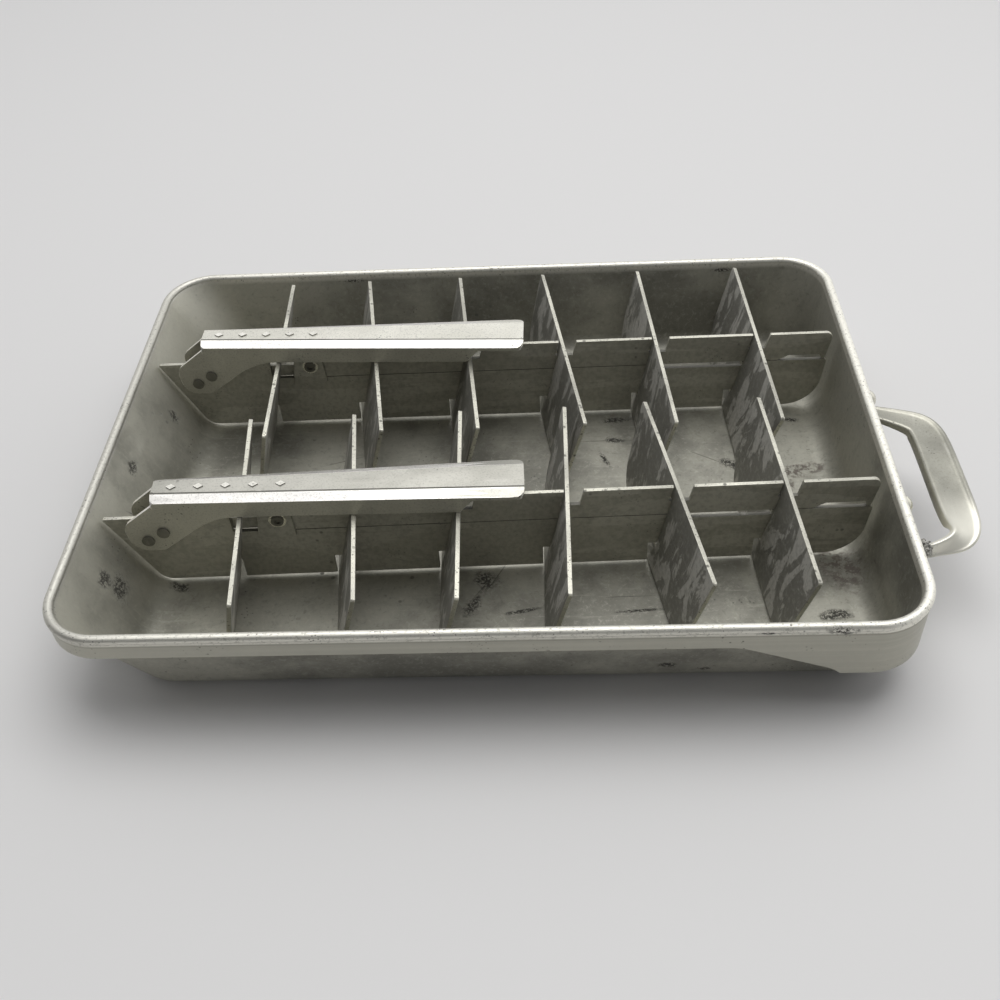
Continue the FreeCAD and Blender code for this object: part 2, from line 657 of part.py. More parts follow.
def lever_profile():
    """Side outline of the lever: top, lip past the flange end, flange edge and round ear."""
    x, z = pivot()
    heel = x + LEVER_FROM_PIVOT
    tip = heel + LEVER_LENGTH
    above = lever_top(heel) + 3
    edge = GRID_TOP + LEVER_REST_GAP
    lobe = z - LOBE_BELOW_PIVOT
    return [(heel, above, 0), (tip, above, 0), (tip, edge + LIP_RISE, 0),
            (tip - LEVER_LIP + LIP_SLANT, edge + LIP_RISE, 2), (tip - LEVER_LIP, edge, 1),
            (x + EAR_SWEEP, edge, EAR_SWEEP_RADIUS), (x + EAR_AHEAD, lobe, EAR_AHEAD),
            (x - EAR_BEHIND, lobe, LOBE_RADIUS), (x - EAR_HEEL_BEHIND, z + EAR_HEEL_RISE, LOBE_RADIUS),
            (heel, edge + HEEL_RISE, 0)]


def make_lever():
    x, z = pivot()
    low = z - 2 * LOBE_BELOW_PIVOT
    heel = x + LEVER_FROM_PIVOT
    tip = heel + LEVER_LENGTH
    behind = x - 2 * EAR_HEEL_BEHIND
    channel = Part.makeLoft([lever_section(behind, low), lever_section(tip, low)], True, True)
    width = LEVER_TIP_HALF + 1
    lever = channel.common(plate_xz(lever_profile(), -width, width))
    corner_cut = prism([(behind, -width, 0), (tip, -LEVER_TIP_HALF, LEVER_TIP_RADIUS),
                        (tip, LEVER_TIP_HALF, LEVER_TIP_RADIUS), (behind, width, 0)],
                       on_xy, Vector(0, 0, 2 * TRAY_HEIGHT))
    lever = lever.common(corner_cut)
    diamonds = [make_diamond(heel + DIAMOND_FROM_HEEL + DIAMOND_PITCH * i) for i in range(DIAMOND_COUNT)]
    pin_x, pin_z = pin_at(0)
    lever = lever.fuse(diamonds).removeSplitter()
    return lever.cut([cylinder_y(PIVOT_SHANK_RADIUS + PIN_FIT, x, z, -width, width),
                      cylinder_y(PIN_RADIUS + PIN_FIT, pin_x, pin_z, -width, width)])


def make_diamond(x):
    """Small raised diamond in the row pressed up along the top of the lever."""
    half_long = DIAMOND_LENGTH / 2
    half_wide = DIAMOND_WIDTH / 2
    corners = [(x - half_long, 0, 0), (x, -half_wide, 0), (x + half_long, 0, 0), (x, half_wide, 0)]
    low = lever_top(x) - LEVER_SHEET / 2
    diamond = prism(corners, on_xy, Vector(0, 0, lever_top(x) + DIAMOND_HEIGHT - low))
    diamond.translate(Vector(0, 0, low))
    return diamond


def flush_pin(x, z, shank_radius):
    """Pin through both ears with a low head outside each ear."""
    seat = lever_half(x + PIN_HEAD_RADIUS) + HEAD_GAP
    shank = cylinder_y(shank_radius, x, z, -seat - PIN_HEAD / 2, seat + PIN_HEAD / 2)
    heads = [cylinder_y(PIN_HEAD_RADIUS, x, z, seat, seat + PIN_HEAD),
             cylinder_y(PIN_HEAD_RADIUS, x, z, -seat - PIN_HEAD, -seat)]
    return shank.fuse(heads).removeSplitter()


def make_lever_pivot_rivet():
    """Rivet through ears and plate, with collars that hold the ears off the plate."""
    x, z = pivot()
    ear = lever_half(x - PIVOT_COLLAR_RADIUS) - LEVER_SHEET - HEAD_GAP
    link_face = SPINE_HALF + LINK_GAP + LINK_SHEET + LINK_GAP
    collars = [cylinder_y(PIVOT_COLLAR_RADIUS, x, z, -ear, -SPINE_HALF - COLLAR_GAP),
               cylinder_y(PIVOT_COLLAR_RADIUS, x, z, link_face, ear)]
    return flush_pin(x, z, PIVOT_SHANK_RADIUS).fuse(collars).removeSplitter()


def make_slide_rivet():
    """Rivet through washer, pad, strip and link: eyelet head in front, low head behind."""
    x, z = strip_pin()
    front = -SPINE_HALF - PAD_SHEET - WASHER_SHEET
    back = SPINE_HALF + LINK_GAP + LINK_SHEET + LINK_GAP
    shank = cylinder_y(STRIP_PIN_RADIUS, x, z, front, back)
    heads = [cylinder_y(STRIP_PIN_HEAD_RADIUS, x, z, front - STRIP_PIN_HEAD, front),
             cylinder_y(STRIP_PIN_HEAD_RADIUS, x, z, back, back + STRIP_PIN_HEAD)]
    dimple = cylinder_y(STRIP_PIN_HEAD_RADIUS * 0.5, x, z, front - STRIP_PIN_HEAD - 1, front - 0.1)
    return shank.fuse(heads).removeSplitter().cut(dimple)


def make_slide_washer():
    x, z = strip_pin()
    face = -SPINE_HALF - PAD_SHEET
    ring = cylinder_y(WASHER_RADIUS, x, z, face - WASHER_SHEET, face)
    return ring.cut(cylinder_y(STRIP_PIN_RADIUS + PIN_FIT, x, z, face - WASHER_SHEET, face))


def grid_pieces(grid):
    """Pieces of one grid, drawn along X; its lever and the lever's two pins may be turned a little."""
    turns, leans = grid["wall_turns"], grid["wall_leans"]
    pieces = {
        "centre_plate": make_centre_plate(turns, leans),
        "slide_strip": make_slide_strip(turns, leans),
        "link": make_link(leans[0]),
        "lever": make_lever(),
        "lever_pivot_rivet": make_lever_pivot_rivet(),
        "link_rivet": flush_pin(*pin_at(0), PIN_RADIUS),
        "slide_rivet": make_slide_rivet(),
        "slide_washer": make_slide_washer(),
    }
    for piece in ("lever", "lever_pivot_rivet", "link_rivet"):
        pieces[piece].rotate(Vector(pivot()[0], 0, 0), Vector(0, 0, 1), grid["lever_turn"])
    for index in range(WALL_COUNT):
        pieces[f"cross_wall_{index + 1}"] = make_cross_wall(index, grid)
    return pieces


def all_pieces():
    pieces = {"pan": make_pan(), "handle": make_handle()}
    for side, y in handle_rivets_y().items():
        pieces[f"handle_rivet_{side}"] = make_handle_rivet(y)
    for name, grid in GRIDS.items():
        for piece, shape in grid_pieces(grid).items():
            shape.rotate(Vector(0, 0, 0), Vector(0, 0, 1), grid["turn"])
            shape.translate(Vector(grid["shift"], grid["middle"], 0))
            pieces[f"{name}_{piece}"] = shape
    return pieces


for node, shape in all_pieces().items():
    shape.exportStep(f"parts/{node}.step")
    print(node, len(shape.Solids), shape.isValid(), round(shape.Volume, 1))
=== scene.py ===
import bpy
import json
import math
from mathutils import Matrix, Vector

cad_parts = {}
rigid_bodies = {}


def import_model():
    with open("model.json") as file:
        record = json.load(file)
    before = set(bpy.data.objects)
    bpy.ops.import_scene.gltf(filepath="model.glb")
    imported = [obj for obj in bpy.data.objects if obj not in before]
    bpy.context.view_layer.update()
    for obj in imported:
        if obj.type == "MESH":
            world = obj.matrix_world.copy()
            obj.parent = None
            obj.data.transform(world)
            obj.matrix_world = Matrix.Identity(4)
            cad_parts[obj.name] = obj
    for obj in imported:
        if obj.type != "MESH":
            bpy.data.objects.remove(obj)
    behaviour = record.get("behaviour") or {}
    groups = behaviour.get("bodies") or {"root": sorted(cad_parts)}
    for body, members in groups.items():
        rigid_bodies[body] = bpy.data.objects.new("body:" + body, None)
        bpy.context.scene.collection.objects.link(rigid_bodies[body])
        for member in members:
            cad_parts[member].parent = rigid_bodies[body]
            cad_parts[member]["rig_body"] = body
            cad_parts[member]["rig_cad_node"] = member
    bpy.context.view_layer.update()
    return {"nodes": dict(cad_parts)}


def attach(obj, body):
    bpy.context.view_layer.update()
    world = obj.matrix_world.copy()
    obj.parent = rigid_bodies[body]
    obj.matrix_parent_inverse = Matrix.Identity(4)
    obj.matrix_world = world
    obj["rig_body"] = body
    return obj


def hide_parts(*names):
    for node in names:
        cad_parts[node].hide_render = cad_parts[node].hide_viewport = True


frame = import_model()
nodes = frame["nodes"]


# Camera. It looks down on the tray from in front of the lever side, a little right of the middle,
# and its frame is the square that the tray and its handle just fill.
camera = bpy.data.objects.new("camera", bpy.data.cameras.new("camera"))
bpy.context.scene.collection.objects.link(camera)
camera.data.sensor_width = 36.0
camera.data.lens = 41.4
camera.data.clip_start = 0.01
camera.location = (0.022864, -0.323140, 0.307508)
camera.rotation_euler = [math.radians(angle) for angle in (46.1127, 2.7700, 0.9687)]
bpy.context.scene.camera = camera


# Pan. One sheet of aluminium about a millimetre thick, drawn in a press, its rim rolled over a wire
# into a bead. Years of washing left the metal dull grey, with stains, dark pits and fine scratches.

class Wire:
    """A socket of a material; arithmetic on it adds Math nodes."""

    def __init__(self, finish, socket):
        self.finish = finish
        self.socket = socket

    def _math(self, operation, *values):
        return self.finish.node("ShaderNodeMath", {"operation": operation}, *values)

    def __add__(self, other):
        return self._math("ADD", self, other)

    def __sub__(self, other):
        return self._math("SUBTRACT", self, other)

    def __rsub__(self, other):
        return self._math("SUBTRACT", other, self)

    def __mul__(self, other):
        return self._math("MULTIPLY", self, other)

    def __or__(self, other):
        return self._math("MAXIMUM", self, other)

    def __pow__(self, other):
        return self._math("POWER", self, other)

    def __abs__(self):
        return self._math("ABSOLUTE", self)

    __radd__ = __add__
    __rmul__ = __mul__


class Finish:
    """A material or a world, built from nodes on the object's own place."""

    def __init__(self, name, world=None):
        self.material = world or bpy.data.materials.new(name)
        self.material.use_nodes = True
        self.nodes = self.material.node_tree.nodes
        self.links = self.material.node_tree.links
        self.shader = self.nodes["Background" if world else "Principled BSDF"]
        self.place = self.node("ShaderNodeTexCoord", output="Object")

    def node(self, kind, settings=None, *values, output=0, **named):
        """Adds a node, makes its settings, fills its sockets and gives the output asked for."""
        made = self.nodes.new(kind)
        for name, value in (settings or {}).items():
            setattr(made, name, value)
        for key, value in list(enumerate(values)) + list(named.items()):
            self.fill(made.inputs[key.replace("_", " ") if isinstance(key, str) else key], value)
        return Wire(self, made.outputs[output])

    def fill(self, socket, value):
        """Links a wire to a socket, or sets the socket to a value; None leaves it as it is."""
        if isinstance(value, Wire):
            self.links.new(value.socket, socket)
        elif value is not None:
            socket.default_value = value

    def set(self, **named):
        """Fills sockets of the shader, named with _ for a space."""
        for key, value in named.items():
            self.fill(self.shader.inputs[key.replace("_", " ")], value)

    def axis(self, letter):
        """Object place along X, Y or Z."""
        return self.node("ShaderNodeSeparateXYZ", {}, self.place, output=letter)

    def moved(self, stretch, offset=(0.0, 0.0, 0.0), turn=(0.0, 0.0, 0.0)):
        """Object place, stretched along each axis, for a pattern with a grain."""
        return self.node("ShaderNodeMapping", {}, self.place, offset, turn, stretch)

    def noise(self, scale, detail=4.0, rough=0.55, place=None, distortion=0.0):
        return self.node("ShaderNodeTexNoise", {}, Vector=place or self.place, Scale=scale,
                         Detail=detail, Roughness=rough, Distortion=distortion, output="Fac")

    def band(self, value, low, high, start=0.0, end=1.0):
        """Value mapped smoothly from low..high to start..end, and held there."""
        return self.node("ShaderNodeMapRange", {"interpolation_type": "SMOOTHSTEP"},
                         Value=value, From_Min=low, From_Max=high, To_Min=start, To_Max=end)

    def mix(self, share, first, second):
        """Two colours mixed; the five sockets between share and colours serve other kinds of mix."""
        unused = [None] * 5
        return self.node("ShaderNodeMix", {"data_type": "RGBA"}, share, *unused, first, second, output=2)

    def layers(self, colour, *coats):
        """Lays coats over a colour, each given as its cover and its own colour."""
        for cover, shade in coats:
            colour = self.mix(cover, colour, shade)
        return colour

    def patch(self, centre, reach, turn=0.0, ragged=0.0):
        """1 in the middle of a patch of the surface and 0 outside it; sizes in millimetres."""
        local = self.node("ShaderNodeMapping", {"vector_type": "TEXTURE"}, self.place,
                          [c / 1000 for c in centre], (0.0, 0.0, math.radians(turn)),
                          [r / 1000 for r in reach])
        away = self.node("ShaderNodeVectorMath", {"operation": "LENGTH"}, local, output="Value")
        return self.band(away + ragged, 0.35, 1.0, 1.0, 0.0)

    def patches(self, marks, ragged):
        """All the patches of a list in one mask."""
        mask = 0.0
        for centre, reach, turn in marks:
            mask = self.patch(centre, reach, turn, ragged) | mask
        return mask

    def bump(self, height, distance, strength=1.0):
        self.set(Normal=self.node("ShaderNodeBump", {}, Strength=strength, Distance=distance,
                                  Height=height, output="Normal"))


def tone(value, warmth=0.84):
    """Aluminium's grey at one brightness: a little warm, the warmer the more oxide is on it."""
    return (value, value * 0.978, value * warmth, 1.0)


def spots(finish, size, share, seed):
    """Small dark pits, scattered in clusters: 1 in a pit, 0 between them."""
    place = finish.moved((1.0, 1.0, 1.0), (seed, seed * 0.7, seed * 0.3))
    cells = finish.node("ShaderNodeTexVoronoi", {"feature": "F1"}, Vector=place, Scale=1.0 / size,
                        Randomness=1.0, output="Distance")
    cluster = finish.noise(0.12 / size, 2.0, 0.5, place)
    return finish.band(cells, 0.10, 0.26, 1.0, 0.0) * finish.band(cluster, 1.0 - share, 1.06 - share)


# Marks on the pan: place, reach along X, Y and Z in millimetres, and turn in degrees
burns = (
    ((-127.8, 29.5, 19.0), (3.2, 3.6, 4.0), 20), ((-132.1, -10.2, 27.9), (3.0, 4.5, 3.0), 0),
    ((-129.9, -62.4, 23.3), (3.5, 4.5, 4.0), 0), ((-126.8, -60.3, 16.8), (5.0, 7.5, 5.0), 30),
    ((-113.0, -46.5, 1.2), (5.5, 2.6, 3.0), -20), ((-1.5, -46.5, 1.2), (5.5, 7.0, 3.0), 10),
    ((-6.0, -58.0, 1.2), (3.0, 7.0, 3.0), -30), ((10.6, -61.0, 1.2), (9.0, 1.2, 3.0), 12),
    ((52.0, -61.5, 1.2), (11.0, 0.9, 3.0), 3), ((49.5, 41.0, 1.2), (8.0, 2.2, 3.0), 4),
    ((48.5, 28.6, 1.2), (5.0, 2.4, 3.0), -5), ((44.0, 17.0, 1.2), (1.4, 6.0, 3.0), 25),
    ((92.5, 13.0, 1.2), (5.5, 3.2, 3.0), -30), ((118.4, -65.2, 1.2), (7.5, 3.0, 3.0), 5),
    ((120.5, 38.5, 1.2), (4.5, 2.0, 3.0), -10), ((108.7, -102.0, 37.0), (6.0, 3.0, 2.2), 0),
    ((86.0, -101.5, 36.6), (5.0, 3.0, 1.0), 0), ((97.0, 98.0, 35.0), (6.0, 3.0, 1.2), 0),
    ((-60.0, 98.0, 35.4), (7.0, 3.0, 0.8), 0), ((58.0, -94.0, 12.0), (4.0, 3.0, 2.5), 0),
    ((70.0, -94.0, 9.0), (3.0, 3.0, 1.5), 0), ((-139.0, 12.0, 37.0), (3.0, 5.0, 2.5), 0))
rust_patches = (
    ((118.0, 8.0, 1.2), (16.0, 5.0, 4.0), 8), ((124.0, -44.0, 3.0), (10.0, 15.0, 6.0), 20),
    ((111.0, -1.0, 1.2), (6.0, 8.0, 3.0), -10))
scratches = (
    ((44.0, 28.4, 1.2), (14.0, 0.35, 2.0), 0), ((49.0, -55.0, 1.2), (13.0, 0.3, 2.0), 1),
    ((2.5, -44.0, 1.2), (0.35, 10.0, 2.0), -28), ((-3.0, -50.0, 1.2), (0.3, 12.0, 2.0), -33),
    ((84.0, 17.0, 1.2), (8.0, 0.4, 2.0), -32), ((-60.0, 20.0, 1.2), (12.0, 0.3, 2.0), 18),
    ((-128.0, -28.0, 20.0), (8.0, 0.4, 8.0), 40), ((95.0, -72.0, 1.2), (10.0, 0.3, 2.0), -8))

# The bead and the skirt below it follow the rim, from above a rectangle with rounded corners
pan = Finish("pan_sheet")
corner_x, corner_y, corner_radius = 0.120, 0.082, 0.020
bead_foot, bead_width, skirt_width = 0.0351, 0.0034, 0.0018
blur = 0.0006
height = pan.axis("Z")
past_x = (abs(pan.axis("X")) - corner_x) | 0.0
past_y = (abs(pan.axis("Y")) - corner_y) | 0.0
inside_rim = corner_radius - (past_x * past_x + past_y * past_y) ** 0.5
on_bead = pan.band(inside_rim, bead_width, bead_width + blur, 1.0, 0.0)
on_skirt = pan.band(inside_rim, skirt_width, skirt_width + blur, 1.0, 0.0)
bead = pan.band(height, bead_foot, bead_foot + blur) * on_bead
skirt = pan.band(height, bead_foot, bead_foot + 0.0004, 1.0, 0.0) * on_skirt
# A thin band of the skirt just under the bead, painted dark: painted shade in the groove
groove_shade = skirt * pan.band(height, bead_foot - 0.0008, bead_foot - 0.0001)
# The nose end is painted lighter: a painted highlight on the slope that faces the light
nose_painted_light = pan.band(pan.axis("X"), -0.108, -0.124)
# The bead is painted darker at the nose end and lighter at the handle end: painted shade and painted
# highlight
nose_rim_shade = pan.band(pan.axis("X"), -0.110, -0.134)
handle_rim_highlight = pan.band(pan.axis("X"), 0.118, 0.132)

# The patterns that wear made
clouds = pan.noise(26.0, 5.0, 0.6)
smudges = pan.noise(9.0, 3.0, 0.5, pan.moved((1.0, 1.0, 1.6), (2.0, 0.4, 0.1)), 0.6)
worn = pan.band(clouds * 0.45 + smudges * 0.55, 0.42, 0.58)
mottle = pan.noise(520.0, 5.0, 0.75, distortion=0.6)
rub = pan.noise(1.0, 4.0, 0.65, pan.moved((40.0, 420.0, 60.0), turn=(0.0, 0.0, 0.12)))
press_bands = pan.noise(1.0, 2.0, 0.5, pan.moved((6.0, 6.0, 900.0)))
fine = pan.noise(420.0, 4.0, 0.6)
bead_bite = pan.band(pan.noise(800.0, 4.0, 0.75), 0.52, 0.66) * bead

ragged = (pan.noise(420.0, 4.0, 0.7) - 0.5) * 1.5
burnt = pan.patches(burns, ragged) * pan.band(pan.noise(900.0, 4.0, 0.75), 0.43, 0.50)
rusty = pan.patches(rust_patches, ragged) * pan.band(pan.noise(330.0, 6.0, 0.75), 0.46, 0.55)
scratched = pan.patches(scratches, (pan.noise(160.0, 3.0, 0.6) - 0.5) * 1.2)
pits = spots(pan, 0.0042, 0.35, 3.1)
dots = spots(pan, 0.0018, 0.38, 7.7)
bead_dots = spots(pan, 0.0013, 0.47, 1.9) * (bead | skirt * 0.6)
dark_spots = (pits * 0.8) | (dots * 0.8) | (bead_dots * 0.9)
dull = (burnt | rusty) | dark_spots

rust_brown = (0.115, 0.085, 0.072, 1.0)
soot_black = (0.030, 0.028, 0.022, 1.0)
# Bead tone, with painted shade at the nose end and a painted highlight at the handle end
bead_tone = pan.layers(tone(0.76, 0.88), (nose_rim_shade, tone(0.58, 0.88)), (handle_rim_highlight, tone(0.92, 0.88)),
                       (bead_bite * 0.55, tone(0.34)))
colour = pan.layers(
    pan.mix(worn, tone(0.25), tone(0.46)),
    (pan.band(mottle, 0.52, 0.66) * 0.30, tone(0.62)),
    (pan.band(mottle, 0.46, 0.34) * 0.35, tone(0.16)),
    (pan.band(rub, 0.58, 0.72) * 0.30, tone(0.60)),
    (pan.band(rub, 0.44, 0.30) * 0.25, tone(0.30)),
    (nose_painted_light * (worn * 0.3 + 0.2), tone(0.66)),
    (skirt * 0.85, pan.mix(press_bands, tone(0.44), tone(0.56))),
    (groove_shade * 0.30, tone(0.12)),
    (bead, bead_tone),
    (rusty * 0.75, rust_brown),
    (scratched * 0.6, tone(0.10)),
    (dark_spots * 0.8, tone(0.07)),
    (burnt * 0.92, soot_black))
uneven = (fine - 0.5) * 0.12 + (clouds - 0.5) * 0.16
pan.set(Base_Color=colour, Metallic=0.62 + bead * 0.15 + skirt * 0.1 - dull * 0.55,
        Roughness=0.50 + uneven - bead * 0.08 - skirt * 0.06 + dull * 0.25)
dent = pan.patch((-134.0, -2.0, 32.5), (4.0, 11.0, 9.0), -14)
dimples = pan.noise(60.0, 2.0, 0.5) - 0.5
pan.bump(clouds * 0.55 + smudges * 0.9 + fine * 0.03 + skirt * press_bands * 0.10 - dent * 0.35
         - dull * 0.10 - bead_bite * 0.06 + dimples * 0.25, 0.0011, 0.6)


def dress(node, finish):
    """Gives a node as it stands one finish all over."""
    mesh = nodes[node].data
    mesh.materials.clear()
    mesh.materials.append(finish.material)


dress("pan", pan)


# Handle. A loop stamped from the same sheet with its edges turned down; its feet lie on the deep end
# of the skirt, where two dome-headed rivets hold them. The lower root is corroded and furred.

def line(name, points, closed, kind):
    """A curve through or along points given in millimetres."""
    curve = bpy.data.objects.new(name, bpy.data.curves.new(name, "CURVE"))
    bpy.context.scene.collection.objects.link(curve)
    curve.data.dimensions = "3D"
    spline = curve.data.splines.new(kind)
    spline.points.add(len(points) - 1)
    for place, point in zip(spline.points, points):
        place.co = (point[0] / 1000, point[1] / 1000, point[2] / 1000, 1.0)
    spline.use_cyclic_u = closed
    return curve


def only(thing):
    """Makes one object the active and only selected one."""
    bpy.ops.object.select_all(action="DESELECT")
    thing.select_set(True)
    bpy.context.view_layer.objects.active = thing


def ease(piece, width, sides=2, limit="ANGLE"):
    """Breaks the sharp edges of a piece, as tumbling does to a blank, and keeps its flats flat."""
    only(piece)
    bpy.ops.object.shade_smooth_by_angle(angle=math.radians(32))
    bpy.ops.object.modifier_add(type="BEVEL")
    bevel = piece.modifiers[-1]
    bevel.width = width
    bevel.segments = sides
    bevel.limit_method = limit
    bevel.angle_limit = math.radians(35)
    bevel.harden_normals = True
    bpy.ops.object.modifier_apply(modifier=bevel.name)


def stand_in(piece, node, body):
    """Puts a piece in a node's place: the node is hidden and the piece moves with the body."""
    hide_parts(node)
    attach(piece, body)


def coat(piece, finish, wanted):
    """Gives one finish to the faces that are wanted."""
    piece.data.materials.append(finish.material)
    only(piece)
    bpy.ops.object.mode_set(mode="EDIT")
    bpy.ops.mesh.select_mode(type="FACE")
    bpy.ops.mesh.select_all(action="DESELECT")
    bpy.ops.object.mode_set(mode="OBJECT")
    for face in piece.data.polygons:
        face.select = wanted(face)
    bpy.ops.object.mode_set(mode="EDIT")
    piece.active_material_index = len(piece.data.materials) - 1
    bpy.ops.object.material_slot_assign()
    bpy.ops.object.mode_set(mode="OBJECT")


def worn_sheet(name, light, dark, roughness, metal=0.75, grain=(240.0, 30.0, 60.0), seed=0.0,
               chips=0.38, waves=0.5):
    """Dull sheet that hands and water have worn: cloudy tone, fine scratches along the grain, pits."""
    finish = Finish(name)
    cloud = finish.noise(30.0, 5.0, 0.62, finish.moved((1.0, 1.0, 1.0), (seed, 0.0, 0.0)))
    dust = finish.noise(420.0, 4.0, 0.6)
    drag = finish.noise(1.0, 5.0, 0.7, finish.moved(grain))
    grain_fine = finish.noise(1500.0, 4.0, 0.7)
    pits = spots(finish, 0.0034, chips, 3.1 + seed)
    dots = spots(finish, 0.0015, chips + 0.05, 7.7 + seed)
    specks = (pits * 0.9) | (dots * 0.8)
    finish.shade = finish.layers(
        finish.mix(finish.band(cloud, 0.38, 0.64), dark, light),
        (finish.band(drag, 0.56, 0.74) * 0.22, tone(0.86, 0.92)),
        (finish.band(grain_fine, 0.50, 0.36) * 0.30, tone(0.20)),
        (specks * 0.75, tone(0.08)))
    finish.set(Base_Color=finish.shade, Metallic=metal - specks * 0.5,
               Roughness=roughness + (dust - 0.5) * 0.12 + (cloud - 0.5) * 0.2 + specks * 0.3)
    finish.bump(cloud * 0.5 + dust * 0.03 + drag * 0.05 - specks * 0.1, 0.0010, waves)
    return finish


# Section of the loop, its outer side first: a rolled rim with a crease inside it, a dished face and
# a rounded inner side, all with the thickness of the sheet
section = line("handle_section", (
    (-6.5, -4.0, 0), (-6.5, -1.3, 0), (-6.3, -0.6, 0), (-5.9, -0.15, 0), (-5.3, 0.0, 0),
    (-4.8, -0.12, 0), (-4.5, -0.42, 0), (-3.0, -0.6, 0), (0.0, -0.8, 0), (3.0, -0.65, 0),
    (4.8, -0.4, 0), (5.7, -0.6, 0), (6.25, -1.2, 0), (6.5, -2.0, 0), (6.5, -4.0, 0), (5.3, -4.0, 0),
    (5.3, -2.3, 0), (4.6, -1.8, 0), (0.0, -2.1, 0), (-4.6, -1.8, 0), (-5.3, -2.3, 0),
    (-5.3, -4.0, 0)), True, "POLY")
# Middle of the loop from the rear root to the front one, its share of the full width, and its turn
way = (
    (140.2, 7.6, 31.0, 0.50, 0), (144.5, 6.2, 31.0, 0.56, 0), (150.5, 3.6, 31.0, 0.70, 0),
    (157.6, 0.4, 31.0, 0.92, 0), (159.1, -7.5, 31.0, 1.0, 0), (159.1, -27.0, 31.0, 1.0, 0),
    (159.1, -44.0, 31.0, 1.0, 0), (159.9, -53.5, 30.8, 0.94, -16), (156.6, -59.6, 30.2, 0.60, -50),
    (149.5, -62.0, 29.6, 0.40, -72), (144.0, -63.4, 29.2, 0.36, -80), (140.2, -64.4, 29.2, 0.42, -80))
loop = line("loop_handle", way, False, "NURBS")
loop.data.twist_mode = "Z_UP"
loop.data.resolution_u = 8
loop.data.splines[0].order_u = 4
loop.data.splines[0].use_endpoint_u = True
for place, station in zip(loop.data.splines[0].points, way):
    place.radius = station[3]
    place.tilt = math.radians(station[4])
loop.data.bevel_mode = "OBJECT"
loop.data.bevel_object = section
loop.data.use_fill_caps = True
only(loop)
bpy.ops.object.convert(target="MESH")
bpy.data.objects.remove(section)

# Its two feet: flat tabs on the skirt, from low to high along Y, with broad round corners
foot_thickness, foot_height, foot_corner = 1.5, 8.5, 0.003
for name, low, high in (("rear_tab", 0.9, 20.9), ("front_tab", -66.0, -33.0)):
    bpy.ops.object.select_all(action="DESELECT")
    bpy.ops.mesh.primitive_cube_add(size=0.001)
    tab = bpy.context.object
    tab.name = name
    bpy.ops.object.mode_set(mode="EDIT")
    bpy.ops.mesh.select_all(action="SELECT")
    bpy.ops.transform.resize(value=(foot_thickness, high - low, foot_height),
                             center_override=(0.0, 0.0, 0.0))
    bpy.ops.transform.translate(value=(0.14025, (low + high) / 2000, 0.03105))
    bpy.ops.object.mode_set(mode="OBJECT")
    rounding = tab.data.attributes.new("bevel_weight_edge", "FLOAT", "EDGE")
    for edge in tab.data.edges:
        start, end = (tab.data.vertices[index].co for index in edge.vertices)
        across_sheet = abs(start.x - end.x) > 0.001
        rounding.data[edge.index].value = 1.0 if across_sheet else 0.15
    ease(tab, foot_corner, 6, "WEIGHT")
only(loop)
for name in ("rear_tab", "front_tab"):
    bpy.data.objects[name].select_set(True)
bpy.ops.object.join()
bpy.ops.object.mode_set(mode="EDIT")
bpy.ops.mesh.select_all(action="SELECT")
bpy.ops.mesh.normals_make_consistent(inside=False)
bpy.ops.object.mode_set(mode="OBJECT")
bpy.ops.object.shade_smooth_by_angle(angle=math.radians(38))
stand_in(loop, "handle", "pan")

handle_finish = worn_sheet("handle_sheet", tone(0.42), tone(0.31), 0.34, 0.85, seed=1.3)
furred = handle_finish.patch((142.0, -63.0, 30.5), (5.5, 4.5, 6.0),
                             ragged=(handle_finish.noise(500.0, 4.0, 0.7) - 0.5) * 1.6)
crumbs = handle_finish.band(handle_finish.noise(900.0, 4.0, 0.8), 0.44, 0.56)
# The front arm is painted lighter: a painted highlight
front_arm_highlight = handle_finish.band(handle_finish.axis("Y"), -0.030, -0.056)
handle_finish.set(Base_Color=handle_finish.layers(
    handle_finish.shade,
    (front_arm_highlight * 0.85, tone(0.80, 0.86)),
    (furred, handle_finish.mix(crumbs, tone(0.07), tone(0.62, 0.88)))))
coat(loop, handle_finish, lambda face: True)

# The lump of white and black oxide that grew on the corroded root
bpy.ops.object.select_all(action="DESELECT")
bpy.ops.mesh.primitive_ico_sphere_add(subdivisions=5, radius=0.001)
crust = bpy.context.object
crust.name = "handle_root_crust"
bpy.ops.object.mode_set(mode="EDIT")
bpy.ops.mesh.select_all(action="SELECT")
bpy.ops.transform.resize(value=(2.6, 3.4, 1.8), center_override=(0.0, 0.0, 0.0))
bpy.ops.transform.translate(value=(0.1432, -0.0618, 0.0305))
bpy.ops.object.mode_set(mode="OBJECT")
lumps = bpy.data.textures.new("lumps", "CLOUDS")
lumps.noise_scale = 0.0011
lumps.noise_depth = 3
bpy.ops.object.modifier_add(type="DISPLACE")
growth = crust.modifiers[-1]
growth.texture = lumps
growth.texture_coords = "LOCAL"
growth.strength = 0.0022
growth.mid_level = 0.55
bpy.ops.object.modifier_apply(modifier=growth.name)
bpy.ops.object.shade_smooth()
crust_finish = Finish("root_crust")
furring = crust_finish.noise(1100.0, 4.0, 0.75)
white_oxide = crust_finish.band(furring, 0.44, 0.58)
crust_finish.set(Base_Color=crust_finish.mix(white_oxide, tone(0.12), tone(0.60, 0.90)),
                 Roughness=0.75 + (furring - 0.5) * 0.2, Metallic=0.2)
crust_finish.bump(furring, 0.0004)
crust.data.materials.append(crust_finish.material)
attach(crust, "pan")

# Rivet heads are painted light: their bright metal with a painted highlight
rivet_highlight_finish = worn_sheet("rivet", tone(0.86), tone(0.70), 0.26, 0.9, seed=2.1)
for end in ("rear", "front"):
    dress("handle_rivet_" + end, rivet_highlight_finish)
